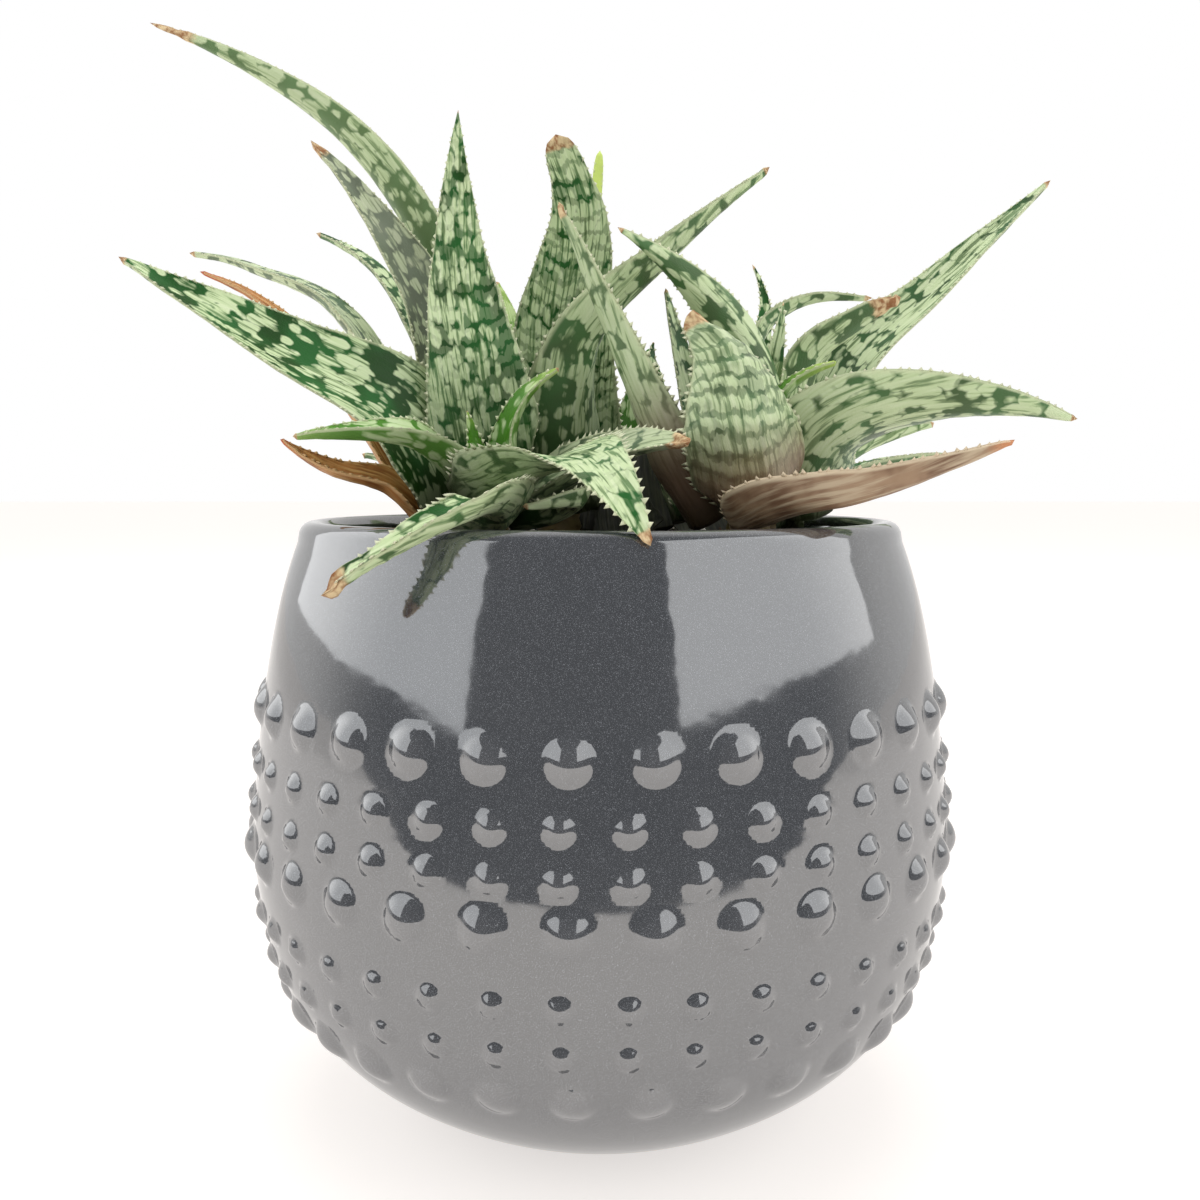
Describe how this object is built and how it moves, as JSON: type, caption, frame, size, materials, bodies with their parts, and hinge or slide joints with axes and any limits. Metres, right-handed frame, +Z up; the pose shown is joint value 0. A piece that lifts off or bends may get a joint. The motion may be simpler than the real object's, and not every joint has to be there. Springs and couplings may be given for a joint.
{
  "type": "potted aloe plant",
  "caption": "Clump of small spotted aloe rosettes with toothed fleshy leaves, growing in a round glazed pot with raised dots.",
  "frame": {"origin": "centre of the pot's flat foot, on the pot's axis", "axes": "+Z up along the pot's axis; -Y is the front of the plant; +X is its right side seen from the front"},
  "size_m": [0.178, 0.1358, 0.199],
  "materials": {
    "glazed_pot": "gloss",
    "soil": "matte",
    "crown_stem": "matte",
    "spotted_leaf": "satin",
    "young_leaf": "satin",
    "pale_leaf": "satin",
    "dry_leaf": "matte"
  },
  "bodies": {
    "root": {"pot": "glazed_pot", "soil": "soil", "left_crown_stem": "crown_stem", "middle_crown_stem": "crown_stem", "right_crown_stem": "crown_stem", "rear_right_crown_stem": "crown_stem", "rear_crown_stem": "crown_stem", "left_leaf_sweeping": "spotted_leaf", "left_leaf_grey": "pale_leaf", "left_leaf_upright": "spotted_leaf", "left_leaf_broad": "spotted_leaf", "left_leaf_back_long": "spotted_leaf", "left_leaf_back_small": "spotted_leaf", "left_leaf_back_dry": "dry_leaf", "left_leaf_young_left": "young_leaf", "left_leaf_young_right": "young_leaf", "left_leaf_young_centre": "young_leaf", "left_leaf_curled": "spotted_leaf", "left_leaf_front": "spotted_leaf", "left_leaf_tucked": "spotted_leaf", "left_leaf_right": "spotted_leaf", "left_leaf_dead": "dry_leaf", "middle_leaf_stub": "spotted_leaf", "middle_leaf_diagonal": "spotted_leaf", "rear_leaf_bright": "young_leaf", "rear_leaf_left": "spotted_leaf", "rear_leaf_back": "spotted_leaf", "rear_leaf_back_right": "spotted_leaf", "rear_leaf_back_left": "spotted_leaf", "right_leaf_pale": "pale_leaf", "right_leaf_banded": "spotted_leaf", "right_leaf_arching": "spotted_leaf", "right_leaf_right": "spotted_leaf", "right_leaf_dead": "dry_leaf", "right_leaf_inner_left": "spotted_leaf", "right_leaf_inner_dark": "spotted_leaf", "right_leaf_young": "young_leaf", "right_leaf_low_right": "spotted_leaf", "rear_right_leaf_long": "spotted_leaf", "rear_right_leaf_folded": "spotted_leaf", "rear_right_leaf_green": "spotted_leaf", "rear_right_leaf_pale": "pale_leaf", "rear_right_leaf_far_tip": "spotted_leaf", "rear_right_leaf_back": "spotted_leaf", "rear_right_leaf_right": "spotted_leaf"}
  },
  "joints": []
}
